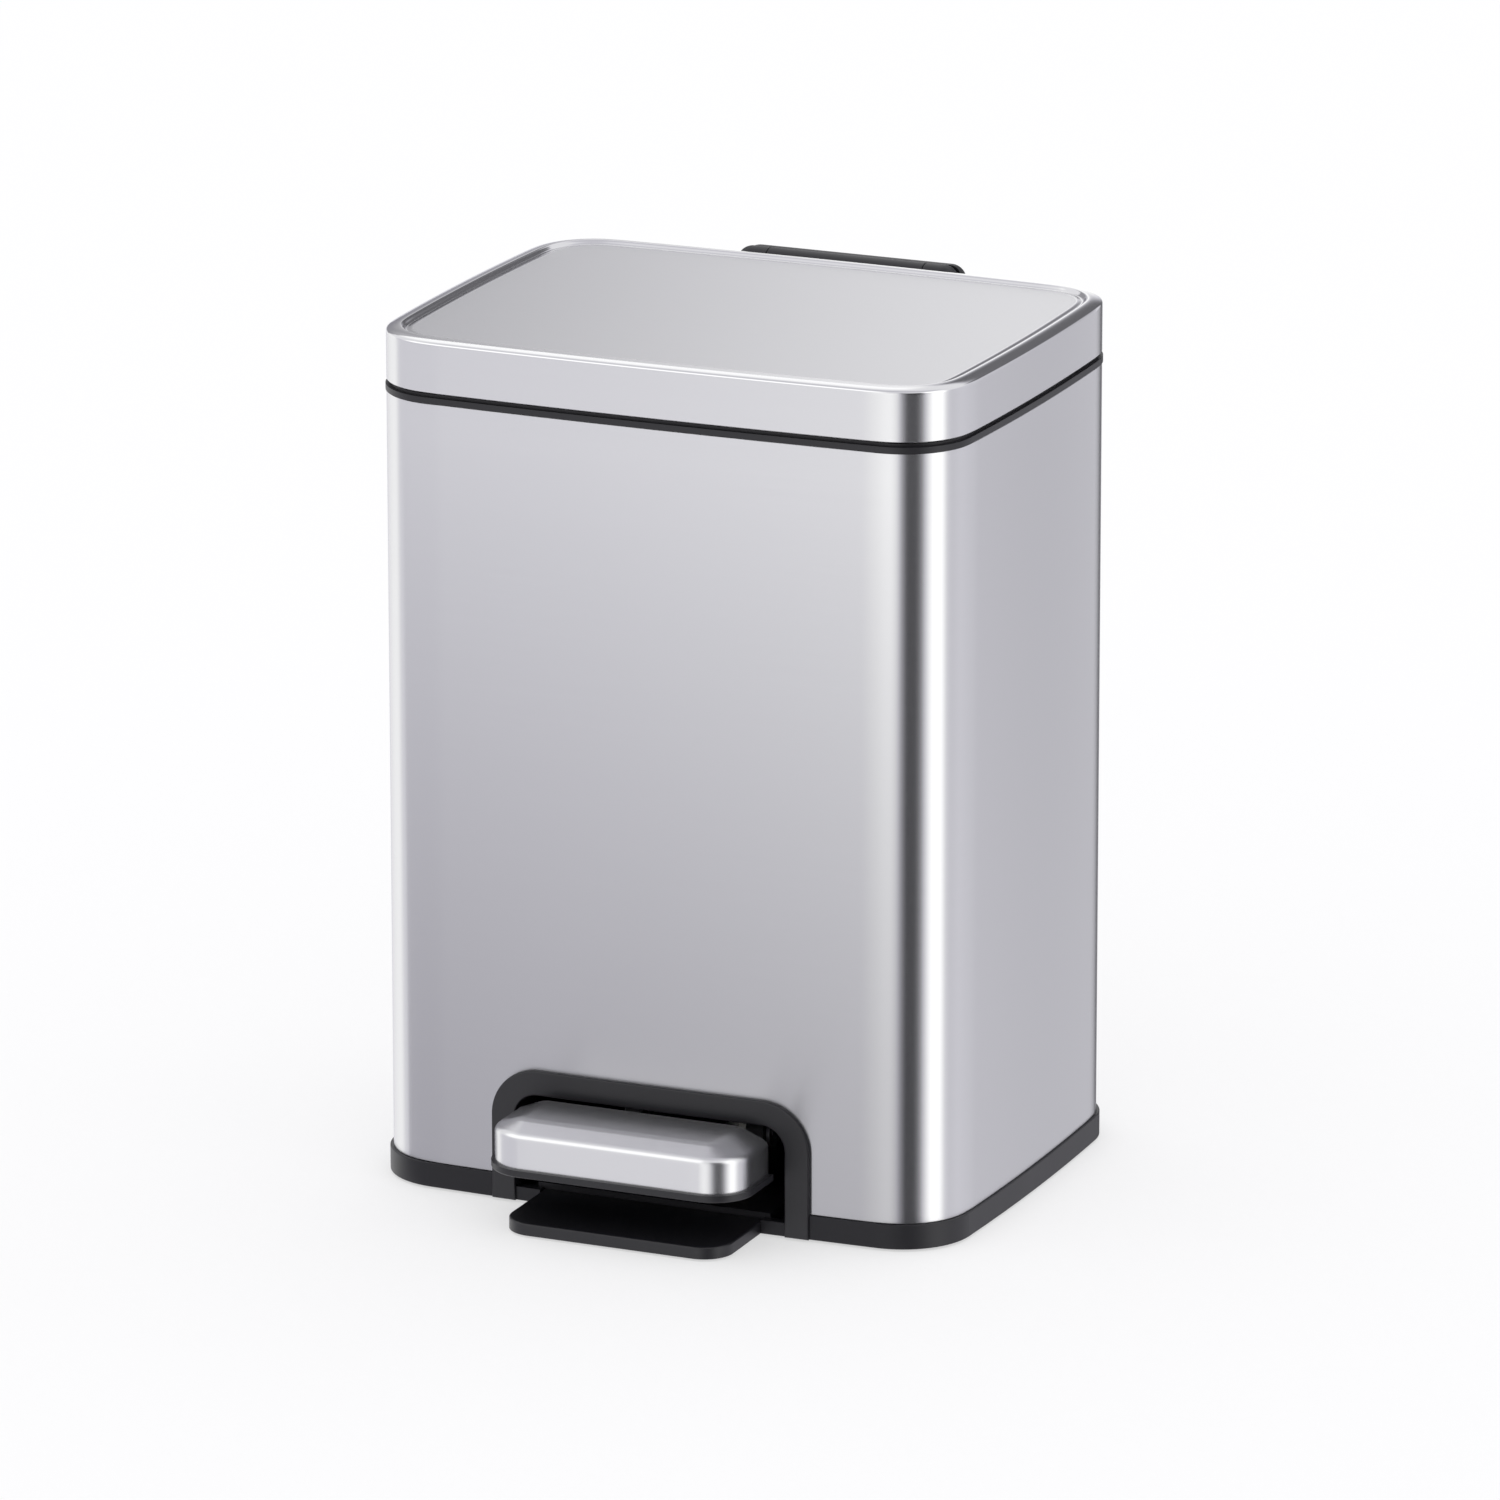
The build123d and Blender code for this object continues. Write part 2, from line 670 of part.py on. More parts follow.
def lid_shell():
    """Steel lid: straight sides, a raised rim and a sunk panel, hollow below with a hem at the bottom."""
    lid = prism(0, lid_bottom, lid_top)
    lid = fillet(lid.edges().group_by(Axis.Z)[-1], lid_edge_radius)
    sunk = loft([Pos(0, 0, panel_z) * outline(rim_width), Pos(0, 0, lid_top) * outline(rim_crest)], ruled=True)
    lid -= sunk
    lid -= prism(lid_sheet, lid_bottom + hem_height, lid_inner_top)
    lid -= prism(hem_width, lid_bottom, lid_bottom + hem_height)
    lid -= ring(lid_sheet, rim_crest - lid_sheet, lid_inner_top, panel_z + lid_sheet)
    return lid - (lid_notch() - prism(hem_width + liner_sheet, lid_bottom, lid_top))


def lid_liner():
    """Plastic lining of the lid: a plate under the panel and a wall inside the sides."""
    liner = prism(liner_outer, liner_bottom, liner_top)
    liner -= prism(liner_inner, liner_bottom, liner_plate_z)
    liner -= lid_notch() - prism(2 * liner_inner, lid_bottom, lid_top)
    for x, y in block_screw_places():
        liner -= rod_z(small_screw + hole_clearance, x, y, liner_plate_z, liner_top - liner_sheet / 4)
    return liner


def lid_bumpers():
    """Rubber pads under the lining that meet the collar when the lid is shut."""
    pads = ring(bumper_inset, bumper_inset + bumper_width, collar_top + bumper_gap, liner_bottom)
    half = bumper_length / 2
    places = []
    for x in (-bumper_x, bumper_x):
        for y in (-body_depth, body_depth):
            places.append(pads & block(x - half, x + half, 0, y, 0, lid_top))
    return places


def block_screw_places():
    y = hinge_y - block_reach + 2 * small_head_radius
    inner = block_pocket_right + 2 * small_head_radius
    return [(x, y + dy) for x in (-inner, inner) for dy in (0, block_reach / 3)]


def lid_hinge_block():
    """The lid's moving knuckle, its plate under the lining and the horn that the push rod lifts."""
    half = block_half
    barrel = rod_x(hinge_radius, -half, half, hinge_y, hinge_z)
    wall_front = back_y - liner_inner - fit_gap
    plate = block(-half, half, hinge_y - block_reach, wall_front, liner_plate_z - block_plate, liner_plate_z)
    neck = block(-half, half, wall_front - fit_gap, hinge_y, hinge_z - block_roof_drop, liner_plate_z)
    cheeks = block(-half, half, wall_front - fit_gap, back_y - fit_gap, liner_bottom, liner_plate_z)
    cheeks = cheeks & prism(fit_gap, lid_bottom, lid_top)
    pocket = block(-block_pocket_left, block_pocket_right, 0, body_depth, 0, hinge_z - block_roof_drop)
    body = barrel + plate + neck + (cheeks - pocket)
    boss = rod_x(horn_radius, horn_x, horn_x + horn_width, horn_y, horn_z)
    web = block(horn_x, horn_x + horn_width, horn_y - horn_radius, horn_y + horn_radius, horn_z, liner_plate_z)
    body += boss + web
    body -= rod_x(rod_radius + hole_clearance, 0, 2 * block_pocket_right, horn_y, horn_z)
    for x, y in block_screw_places():
        body -= rod_z(small_screw + hole_clearance, x, y, 0, lid_top)
    return body - rod_x(hinge_pin_radius + hole_clearance, -body_width, body_width, hinge_y, hinge_z)


def lid_block_screws():
    """Four small screws up through the hinge block's plate into the lining."""
    length = block_plate + liner_sheet / 2
    seat = liner_plate_z - block_plate
    small = screw(length, small_screw, small_head_radius, small_head_height)
    return [Pos(x, y, seat) * small for x, y in block_screw_places()]


# ---------------------------------------------------------------- push rod
def push_rod():
    """Bent wire: its top end turns into the lid's horn and its bottom end into the lever's slot."""
    top_end = horn_x + horn_width + retainer_width + 3 * retainer_gap
    low_end = lever_half + retainer_width + 3 * retainer_gap
    points = [(top_end, horn_z), (0, horn_z), (0, rod_bottom), (low_end, rod_bottom)]
    path = FilletPolyline(*[(x, horn_y, z) for x, z in points], radius=rod_bend)
    start = Plane(origin=(top_end, horn_y, horn_z), z_dir=(-1, 0, 0))
    return sweep(start * Circle(rod_radius), path=path)


def push_on_ring(shaft_radius, x, y, z):
    """A thin ring pushed onto a shaft's end, along X from x."""
    body = rod_x(shaft_radius + retainer_wall, x, x + retainer_width, y, z)
    return body - rod_x(shaft_radius + hole_clearance / 2, x - 1, x + retainer_width + 1, y, z)


def rod_retainers():
    top = push_on_ring(rod_radius, horn_x + horn_width + retainer_gap, horn_y, horn_z)
    low = push_on_ring(rod_radius, lever_half + retainer_gap, horn_y, rod_bottom)
    return [top, low]


# ---------------------------------------------------------------- pedal and lever
def web_line(drop):
    """Three points along the top of the lever's web in the side view, lowered by drop."""
    return [
        (lever_front, lever_front_top - drop),
        (pivot_y, lever_front_top - drop),
        (lever_back, lever_rear_top - drop),
    ]


def pedal_lever():
    """Steel channel, open below: a web on top and two flanges with the pivot holes and the rod's slot."""
    slot_half = rod_radius + slot_side
    ear_low = rod_bottom - slot_half - lever_sheet
    flange_low = pivot_z - 2 * bush_radius
    neck_y = cap_back + 2 * lever_sheet
    underside = [
        (lever_back, ear_low),
        (horn_y - lever_ear, ear_low),
        (pivot_y + 2 * post_depth, flange_low),
        (pivot_y - post_depth, flange_low),
        (neck_y + post_depth / 2, pivot_z - bush_radius),
        (neck_y, lever_front_top - lever_sheet),
        (lever_front, lever_front_top - lever_sheet),
    ]
    side = Plane.YZ * make_face(Polyline(*web_line(0), *underside, close=True))
    lever = extrude(side, lever_half, both=True)
    inside = Plane.YZ * make_face(Polyline(*web_line(lever_sheet), (lever_back, 0), (lever_front, 0), close=True))
    lever -= extrude(inside, lever_half - lever_sheet, both=True)
    slot_front = horn_y - rod_forward - slot_slack
    slot_back = horn_y + slot_slack
    web_end = slot_front - slot_half
    lever -= block(-lever_half + lever_sheet, lever_half - lever_sheet, web_end, body_depth, 0, cover_height)
    lever -= rod_x(bush_radius + hole_clearance, -body_width, body_width, pivot_y, pivot_z)
    lever -= block(-body_width, body_width, slot_front, slot_back, rod_bottom - slot_half, rod_bottom + slot_half)
    for y in (slot_front, slot_back):
        lever -= rod_x(slot_half, -body_width, body_width, y, rod_bottom)
    for x, y in pedal_screw_places():
        lever -= rod_z(screw_radius + fit_gap, x, y, 0, cover_height)
    return lever


def lever_bushes():
    """Flanged plastic bushes in the lever's pivot holes."""
    sleeve = rod_x(bush_radius, lever_half - lever_sheet, lever_half + bush_flange, pivot_y, pivot_z)
    flange = rod_x(bush_radius + bush_flange_width, lever_half + hole_clearance, lever_half + bush_flange,
                   pivot_y, pivot_z)
    bush = sleeve + flange - rod_x(axle_radius + hole_clearance, 0, body_width, pivot_y, pivot_z)
    return both_sides(bush)


def pivot_axle():
    return rod_x(axle_radius, -axle_half, axle_half, pivot_y, pivot_z)


def axle_retainers():
    return both_sides(push_on_ring(axle_radius, post_end + retainer_gap, pivot_y, pivot_z))


def pedal_screw_places():
    y = (cap_front + cap_back) / 2
    return [(-lever_half / 2, y), (lever_half / 2, y)]


def cap_plan(inset, side_slope, front_slope, corner):
    """The cap's plan: open and square at the back, rounded at the two front corners."""
    half = cap_width / 2 - inset - side_slope
    front = cap_front + inset + front_slope
    back = cap_back + abs(inset)
    face = Pos(0, (front + back) / 2) * Rectangle(2 * half, back - front)
    return fillet(face.vertices().group_by(Axis.Y)[0], corner)


def cap_form(inset, bottom):
    """The pedal cap's form: upright sides to the ridge, then slopes up to the top panel."""
    low = cap_plan(inset, 0, 0, cap_corner - inset)
    high = cap_plan(inset, cap_side_slope, cap_front_slope, cap_top_corner)
    ridge = cap_ridge - inset / 2
    sides = Pos(0, 0, bottom) * extrude(low, ridge - bottom)
    return sides + loft([Pos(0, 0, ridge) * low, Pos(0, 0, cap_top - inset) * high], ruled=True)


def pedal_cap():
    """Pressed steel cap over the pedal."""
    return cap_form(0, cap_bottom) - cap_form(cap_sheet, cap_bottom)


def pedal_base():
    """Plastic body of the pedal, under the cap, with a rim that shows round the cap's lower edge."""
    rim = cap_plan(-pedal_rim, 0, 0, cap_corner + pedal_rim)
    base = Pos(0, 0, cap_bottom - pedal_rim_height) * extrude(rim, pedal_rim_height)
    base = fillet(base.edges().group_by(Axis.Z)[0], pedal_rim_edge)
    base += cap_form(cap_sheet + fit_gap, cap_bottom)
    seat = lever_half + fit_gap
    base -= block(-seat, seat, cap_front + cap_sheet + fit_gap, 0, lever_front_top - lever_sheet - fit_gap,
                  lever_front_top + fit_gap)
    bottom = cap_bottom - pedal_rim_height
    for x, y in pedal_screw_places():
        base -= rod_z(screw_radius + hole_clearance, x, y, 0, cap_ridge)
        base -= rod_z(screw_head_radius + fit_gap, x, y, 0, bottom + screw_head_height)
    return base


def pedal_screws():
    """Two screws up through the pedal's base and the lever."""
    seat = cap_bottom - pedal_rim_height + screw_head_height
    return [Pos(x, y, seat) * screw(cap_ridge - seat - 1) for x, y in pedal_screw_places()]


# ---------------------------------------------------------------- write the parts
nodes = [
    body_shell,
    rim_collar,
    base_tray,
    base_screws,
    pedal_surround,
    surround_screws,
    front_foot,
    foot_screws,
    rubber_feet,
    mechanism_cover,
    rod_guide,
    inner_bucket,
    bucket_handle,
    hinge_housing,
    hinge_end_caps,
    hinge_pin,
    hinge_backing_plate,
    hinge_screws,
    lid_shell,
    lid_liner,
    lid_bumpers,
    lid_hinge_block,
    lid_block_screws,
    push_rod,
    rod_retainers,
    pedal_lever,
    lever_bushes,
    pivot_axle,
    axle_retainers,
    pedal_cap,
    pedal_base,
    pedal_screws,
]

for node in nodes:
    save(node(), node.__name__)
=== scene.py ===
"""Looks of the pedal trash can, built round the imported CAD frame. Lengths are in metres."""
import json
from math import atan2, cos, pi, radians, sin, sqrt

import bmesh
import bpy
from mathutils import Matrix, Vector


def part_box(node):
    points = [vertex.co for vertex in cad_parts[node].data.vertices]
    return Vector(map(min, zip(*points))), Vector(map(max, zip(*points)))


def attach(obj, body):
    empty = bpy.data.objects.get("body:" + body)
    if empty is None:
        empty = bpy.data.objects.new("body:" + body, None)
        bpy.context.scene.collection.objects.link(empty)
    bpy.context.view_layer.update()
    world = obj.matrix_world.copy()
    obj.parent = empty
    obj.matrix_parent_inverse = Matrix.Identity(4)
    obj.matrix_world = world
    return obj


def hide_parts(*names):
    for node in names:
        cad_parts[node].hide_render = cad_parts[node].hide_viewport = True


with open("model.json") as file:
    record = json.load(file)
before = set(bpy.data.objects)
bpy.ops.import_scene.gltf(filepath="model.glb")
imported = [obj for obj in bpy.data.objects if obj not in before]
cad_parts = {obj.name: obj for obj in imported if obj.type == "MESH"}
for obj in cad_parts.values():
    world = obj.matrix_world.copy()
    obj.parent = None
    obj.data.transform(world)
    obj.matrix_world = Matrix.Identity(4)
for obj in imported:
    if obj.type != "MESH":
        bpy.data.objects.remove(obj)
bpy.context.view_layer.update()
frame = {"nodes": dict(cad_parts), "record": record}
MM = 0.001

# ---------------------------------------------------------------- sizes read from the frame
body_low, body_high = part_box("body_shell")
lid_low, lid_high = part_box("lid_shell")
cap_low, cap_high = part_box("pedal_cap")
centre_y = (lid_low.y + lid_high.y) / 2

# sizes of the forms, as the object has them
HALF_X = (lid_high.x - lid_low.x) / 2
HALF_Y = (lid_high.y - lid_low.y) / 2
CORNER = 23.0 * MM
CROWN = 2.5 * MM  # how far the middle of a face stands out before its ends
EASE = 90.0 * MM  # radius between a bowed face and the corner
CORNER_PULL = 0.25 * MM
SHEET = 0.8 * MM


# ---------------------------------------------------------------- node helpers
def node(tree, kind, values=None, **settings):
    """Adds a shader node, with values for its sockets by name or number."""
    made = tree.nodes.new(kind)
    for key, value in settings.items():
        setattr(made, key, value)
    for key, value in (values or {}).items():
        made.inputs[key].default_value = value
    return made


def link(tree, source, output, target, socket):
    """Joins a node's output to another node's socket."""
    tree.links.new(source.outputs[output], target.inputs[socket])


def math_node(tree, operation, a, b=None, c=None):
    """A Math node whose inputs are numbers or (node, output) pairs."""
    made = tree.nodes.new("ShaderNodeMath")
    made.operation = operation
    for place, value in enumerate((a, b, c)):
        if isinstance(value, tuple):
            tree.links.new(value[0].outputs[value[1]], made.inputs[place])
        elif value is not None:
            made.inputs[place].default_value = value
    return made


def new_material(name):
    """A material with its node tree and its Principled shader."""
    material = bpy.data.materials.new(name)
    material.use_nodes = True
    shader = material.node_tree.nodes["Principled BSDF"]
    return material, material.node_tree, shader


# ---------------------------------------------------------------- materials
STEEL = (0.72, 0.72, 0.73)
CAP_STEEL = (0.70, 0.70, 0.71)
ALONG = 12.0  # noise scale along the brushing, per metre
ALONG_CAP = 60.0
ACROSS = 2600.0
QUARTER_TURN = 0.25
UNEVEN_SHEEN = 0.05  # how far the roughness of a plastic strays
UNEVEN_PLATING = 0.08


def brushed_steel(name, grain, anisotropic=0.0, roughness=0.33, tone=STEEL, streak=0.014):
    """Brushed sheet. grain scales the noise along X, Y and Z: small along the brushing."""
    material, tree, shader = new_material(name)
    shader.inputs["Metallic"].default_value = 1.0
    shader.inputs["Anisotropic"].default_value = anisotropic
    shader.inputs["Anisotropic Rotation"].default_value = QUARTER_TURN if anisotropic else 0.0
    if anisotropic:
        tangent = node(tree, "ShaderNodeTangent", direction_type="RADIAL", axis="Z")
        link(tree, tangent, "Tangent", shader, "Tangent")
    place = node(tree, "ShaderNodeTexCoord")
    stretch = node(tree, "ShaderNodeMapping", {"Scale": grain})
    link(tree, place, "Object", stretch, "Vector")
    streaks = node(tree, "ShaderNodeTexNoise", {"Scale": 1.0, "Detail": 4.0, "Roughness": 0.6})
    link(tree, stretch, "Vector", streaks, "Vector")
    shade = node(tree, "ShaderNodeMapRange", {"To Min": -streak, "To Max": streak})
    link(tree, streaks, "Fac", shade, "Value")
    tint = node(tree, "ShaderNodeVectorMath", {0: tone}, operation="ADD")
    link(tree, shade, "Result", tint, 1)
    link(tree, tint, "Vector", shader, "Base Color")
    spread = {"To Min": roughness - streak, "To Max": roughness + streak}
    rough = node(tree, "ShaderNodeMapRange", spread)
    link(tree, streaks, "Fac", rough, "Value")
    link(tree, rough, "Result", shader, "Roughness")
    bump = node(tree, "ShaderNodeBump", {"Strength": 0.05, "Distance": 0.02 * MM})
    link(tree, streaks, "Fac", bump, "Height")
    link(tree, bump, "Normal", shader, "Normal")
    return material


def moulded_plastic(name, tone, roughness=0.42, grain=1400.0, depth=0.02 * MM, specular=0.5):
    """Injection-moulded plastic with a fine texture and a little unevenness in its sheen."""
    material, tree, shader = new_material(name)
    shader.inputs["Specular IOR Level"].default_value = specular
    place = node(tree, "ShaderNodeTexCoord")
    fine = node(tree, "ShaderNodeTexNoise", {"Scale": grain, "Detail": 2.0})
    broad = node(tree, "ShaderNodeTexNoise", {"Scale": 30.0, "Detail": 3.0})
    link(tree, place, "Object", fine, "Vector")
    link(tree, place, "Object", broad, "Vector")
    light = tuple(min(1.0, c * 1.15) for c in tone) + (1.0,)
    dark = tuple(c * 0.85 for c in tone) + (1.0,)
    ramp = node(tree, "ShaderNodeMix", {6: dark, 7: light}, data_type="RGBA")
    link(tree, broad, "Fac", ramp, 0)
    link(tree, ramp, 2, shader, "Base Color")
    spread = {"To Min": roughness - UNEVEN_SHEEN, "To Max": roughness + UNEVEN_SHEEN}
    rough = node(tree, "ShaderNodeMapRange", spread)
    link(tree, broad, "Fac", rough, "Value")
    link(tree, rough, "Result", shader, "Roughness")
    bump = node(tree, "ShaderNodeBump", {"Strength": 0.25, "Distance": depth})
    link(tree, fine, "Fac", bump, "Height")
    link(tree, bump, "Normal", shader, "Normal")
    return material


def plated_steel(name, tone, roughness=0.3):
    """Zinc-plated or hardened steel with a faint mottle."""
    material, tree, shader = new_material(name)
    shader.inputs["Metallic"].default_value = 1.0
    place = node(tree, "ShaderNodeTexCoord")
    mottle = node(tree, "ShaderNodeTexNoise", {"Scale": 220.0, "Detail": 3.0})
    link(tree, place, "Object", mottle, "Vector")
    light = tuple(min(1.0, c * 1.08) for c in tone) + (1.0,)
    dark = tuple(c * 0.9 for c in tone) + (1.0,)
    ramp = node(tree, "ShaderNodeMix", {6: dark, 7: light}, data_type="RGBA")
    link(tree, mottle, "Fac", ramp, 0)
    link(tree, ramp, 2, shader, "Base Color")
    spread = {"To Min": roughness - UNEVEN_PLATING, "To Max": roughness + UNEVEN_PLATING}
    rough = node(tree, "ShaderNodeMapRange", spread)
    link(tree, mottle, "Fac", rough, "Value")
    link(tree, rough, "Result", shader, "Roughness")
    return material


steel_walls = brushed_steel("steel_walls", (ALONG, ALONG, ACROSS), anisotropic=0.97, roughness=0.26)
steel_panel = brushed_steel("steel_panel", (ALONG, ACROSS, ALONG), roughness=0.36)
steel_inside = brushed_steel("steel_inside", (ALONG, ALONG, ACROSS), roughness=0.45)
steel_rim = brushed_steel("steel_rim", (ALONG, ALONG, ACROSS), roughness=0.12)
steel_cap = brushed_steel("steel_cap", (ALONG_CAP, ACROSS, ACROSS), roughness=0.26, tone=CAP_STEEL)
black_plastic = moulded_plastic("black_plastic", (0.0100, 0.0097, 0.0124))
grey_plastic = moulded_plastic("grey_plastic", (0.10, 0.10, 0.105), roughness=0.38, grain=900.0)
nylon = moulded_plastic("nylon", (0.72, 0.71, 0.66), roughness=0.45)
rubber = moulded_plastic("rubber", (0.016, 0.016, 0.016), roughness=0.75, grain=700.0, specular=0.3)
zinc_steel = plated_steel("zinc_steel", (0.55, 0.56, 0.58))
screw_steel = plated_steel("screw_steel", (0.50, 0.50, 0.52), roughness=0.35)
spring_steel = plated_steel("spring_steel", (0.28, 0.28, 0.30), roughness=0.4)
SLOT_MATERIALS = {
    "brushed_steel": steel_walls,
    "black_plastic": black_plastic,
    "grey_plastic": grey_plastic,
    "nylon": nylon,
    "rubber": rubber,
    "zinc_steel": zinc_steel,
    "screw_steel": screw_steel,
    "spring_steel": spring_steel,
}


def dress_cad_nodes():
    """Gives every CAD node the procedural material of its slot."""
    for part in frame["record"]["subparts"]:
        piece = frame["nodes"][part["node"]]
        piece.data.materials.clear()
        piece.data.materials.append(SLOT_MATERIALS[part["material_slot"]])


# ---------------------------------------------------------------- mesh helpers
def meeting_point(centre_a, radius_a, centre_b, radius_b):
    """Where two circles meet, on the right of the way from the first centre to the second."""
    between = centre_b - centre_a
    reach = between.length
    along = (radius_a**2 - radius_b**2 + reach**2) / (2 * reach)
    across = sqrt(radius_a**2 - along**2)
    unit = between / reach
    return centre_a + unit * along + Vector((unit.y, -unit.x)) * across


FACE_STEPS = 16
EASE_STEPS = 5
CORNER_STEPS = 18


def bow_radius(half):
    """Radius of a face that bows out by CROWN over twice half."""
    return (half**2 + CROWN**2) / (2 * CROWN)


def crowned_plan(inset):
    """Points round the body's outline, moved in by inset: bowed faces that ease into round corners."""
    front_radius = bow_radius(HALF_X - CROWN)
    side_radius = bow_radius(HALF_Y - CROWN)
    front = Vector((0, -HALF_Y + front_radius))
    side = Vector((HALF_X - side_radius, 0))
    tight = CORNER + CORNER_PULL
    corner = meeting_point(side, side_radius - tight, front, front_radius - tight)
    ease_front = meeting_point(front, front_radius - EASE, corner, EASE - CORNER)
    ease_side = meeting_point(corner, EASE - CORNER, side, side_radius - EASE)
    turns = [0.0]
    for start, end in ((front, ease_front), (ease_front, corner), (ease_side, corner), (side, ease_side)):
        turns.append(atan2(end.x - start.x, start.y - end.y))
    turns.append(pi / 2)
    arcs = [(front, front_radius, FACE_STEPS), (ease_front, EASE, EASE_STEPS)]
    arcs += [(corner, CORNER, CORNER_STEPS)]
    arcs += [(ease_side, EASE, EASE_STEPS), (side, side_radius, FACE_STEPS)]
    quarter = []
    for (centre, radius, steps), start, end in zip(arcs, turns, turns[1:]):
        for step in range(steps):
            turn = start + (end - start) * step / steps
            quarter.append(centre + (radius - inset) * Vector((sin(turn), -cos(turn))))
    quarter.append(Vector((HALF_X - inset, 0)))
    right = quarter + [Vector((p.x, -p.y)) for p in reversed(quarter[:-1])]
    left = [Vector((-p.x, p.y)) for p in reversed(right[1:-1])]
    return right + left


def skin(name, rings, close_first=False, close_last=False, loop=False):
    """A mesh through rings of points, each ring with as many points as the others."""
    mesh = bpy.data.meshes.new(name)
    bm = bmesh.new()
    rows = [[bm.verts.new(p) for p in ring] for ring in rings]
    pairs = list(zip(rows, rows[1:]))
    if loop:
        pairs.append((rows[-1], rows[0]))
    for low, high in pairs:
        for i in range(len(low)):
            j = (i + 1) % len(low)
            bm.faces.new((low[i], low[j], high[j], high[i]))
    if close_first:
        bm.faces.new(list(reversed(rows[0])))
    if close_last:
        bm.faces.new(rows[-1])
    bmesh.ops.recalc_face_normals(bm, faces=bm.faces)
    for face in bm.faces:
        face.smooth = True
    bm.to_mesh(mesh)
    bm.free()
    piece = bpy.data.objects.new(name, mesh)
    bpy.context.scene.collection.objects.link(piece)
    return piece


def plan_rings(profile):
    """Rings of the body's outline for a profile of (inset, height) points."""
    rings = []
    for inset, height in profile:
        rings.append([Vector((p.x, p.y + centre_y, height)) for p in crowned_plan(inset)])
    return rings


def curve(p0, p1, p2, p3, steps=8):
    """Points of a cubic curve after its first point."""
    points = []
    for step in range(1, steps + 1):
        t = step / steps
        u = 1 - t
        weighted = list(zip((u**3, 3 * u * u * t, 3 * u * t * t, t**3), (p0, p1, p2, p3)))
        points.append(tuple(sum(weight * point[k] for weight, point in weighted) for k in (0, 1)))
    return points


def apply_modifiers(piece):
    """Replaces the piece's mesh with its evaluated mesh."""
    graph = bpy.context.evaluated_depsgraph_get()
    mesh = bpy.data.meshes.new_from_object(piece.evaluated_get(graph))
    piece.modifiers.clear()
    piece.data = mesh


def cut(piece, cutter):
    """Cuts the closed cutter out of the piece and deletes the cutter."""
    boolean = piece.modifiers.new("cut", "BOOLEAN")
    boolean.operation = "DIFFERENCE"
    boolean.object = cutter
    boolean.solver = "EXACT"
    apply_modifiers(piece)
    bpy.data.objects.remove(cutter)


AREA_WEIGHT = 80


def smooth_by_angle(piece, angle=35.0):
    """Marks sharp edges over the angle and weights the rest by face area."""
    bm = bmesh.new()
    bm.from_mesh(piece.data)
    for edge in bm.edges:
        edge.smooth = len(edge.link_faces) == 2 and edge.calc_face_angle(0.0) < radians(angle)
    for face in bm.faces:
        face.smooth = True
    bm.to_mesh(piece.data)
    bm.free()
    weighted = piece.modifiers.new("weighted", "WEIGHTED_NORMAL")
    weighted.keep_sharp = True
    weighted.weight = AREA_WEIGHT
    return piece


def box_piece(name, low, high):
    """A plain box, used as a cutter."""
    mesh = bpy.data.meshes.new(name)
    bm = bmesh.new()
    bmesh.ops.create_cube(bm, size=1.0)
    size = high - low
    for vertex in bm.verts:
        vertex.co = low + Vector([(vertex.co[k] + 0.5) * size[k] for k in range(3)])
    bm.to_mesh(mesh)
    bm.free()
    piece = bpy.data.objects.new(name, mesh)
    bpy.context.scene.collection.objects.link(piece)
    return piece


def arch_outline(half, bottom, top, radius, steps=10):
    """Points in X and Z round an arch, from the lower left corner over the top."""
    points = [(-half, bottom), (-half, top - radius)]
    for step in range(1, steps + 1):
        turn = pi / 2 * step / steps
        points.append((-half + radius - radius * cos(turn), top - radius + radius * sin(turn)))
    for step in range(steps + 1):
        turn = pi / 2 * step / steps
        points.append((half - radius + radius * sin(turn), top - radius + radius * cos(turn)))
    points.append((half, bottom))
    return points


# ---------------------------------------------------------------- body shell
SLEEVE_GAP = 0.1 * MM
SLEEVE_WALL = 2.0 * MM
SLEEVE_ROLL = 0.25 * MM  # round of the sheet's edges
OPENING_HALF = 47.7 * MM
OPENING_TOP = 37.7 * MM
OPENING_CORNER = 8.3 * MM
CUT_BELOW = 10 * MM
CUT_REACH = 20 * MM  # of the cutter before and behind the front face


def body_shell():
    """The sleeve: thin wall with slightly rolled edges, and the arched cut-out behind the surround."""
    low, high = body_low.z, body_high.z
    roll = SLEEVE_ROLL
    profile = [(SHEET, low + roll), (SHEET - roll, low), (roll, low), (0.0, low + roll)]
    profile += [(0.0, low + (high - low) * k / 6) for k in range(1, 6)]
    profile += [(0.0, high - roll), (roll, high), (SHEET - roll, high), (SHEET, high - roll)]
    piece = skin("body_sleeve", plan_rings(profile), loop=True)
    grow = SLEEVE_WALL + SLEEVE_GAP
    ring = arch_outline(OPENING_HALF + grow, -CUT_BELOW, OPENING_TOP + grow, OPENING_CORNER + grow)
    near, far = body_low.y - CUT_REACH, body_low.y + CUT_REACH
    cutter = skin(
        "arch_cutter",
        [[Vector((x, y, z)) for x, z in ring] for y in (near, far)],
        close_first=True,
        close_last=True,
    )
    cut(piece, cutter)
    return smooth_by_angle(piece)


# ---------------------------------------------------------------- lid
LID_HEM = 1.6 * MM
LID_HEM_EDGE = 0.3 * MM
LID_CHAMFER = 0.6 * MM  # inside, between the sides and the roof
LID_ROOF_DROP = 2.4 * MM
RIM_START = 1.9 * MM  # below the top, where the sides begin to turn in
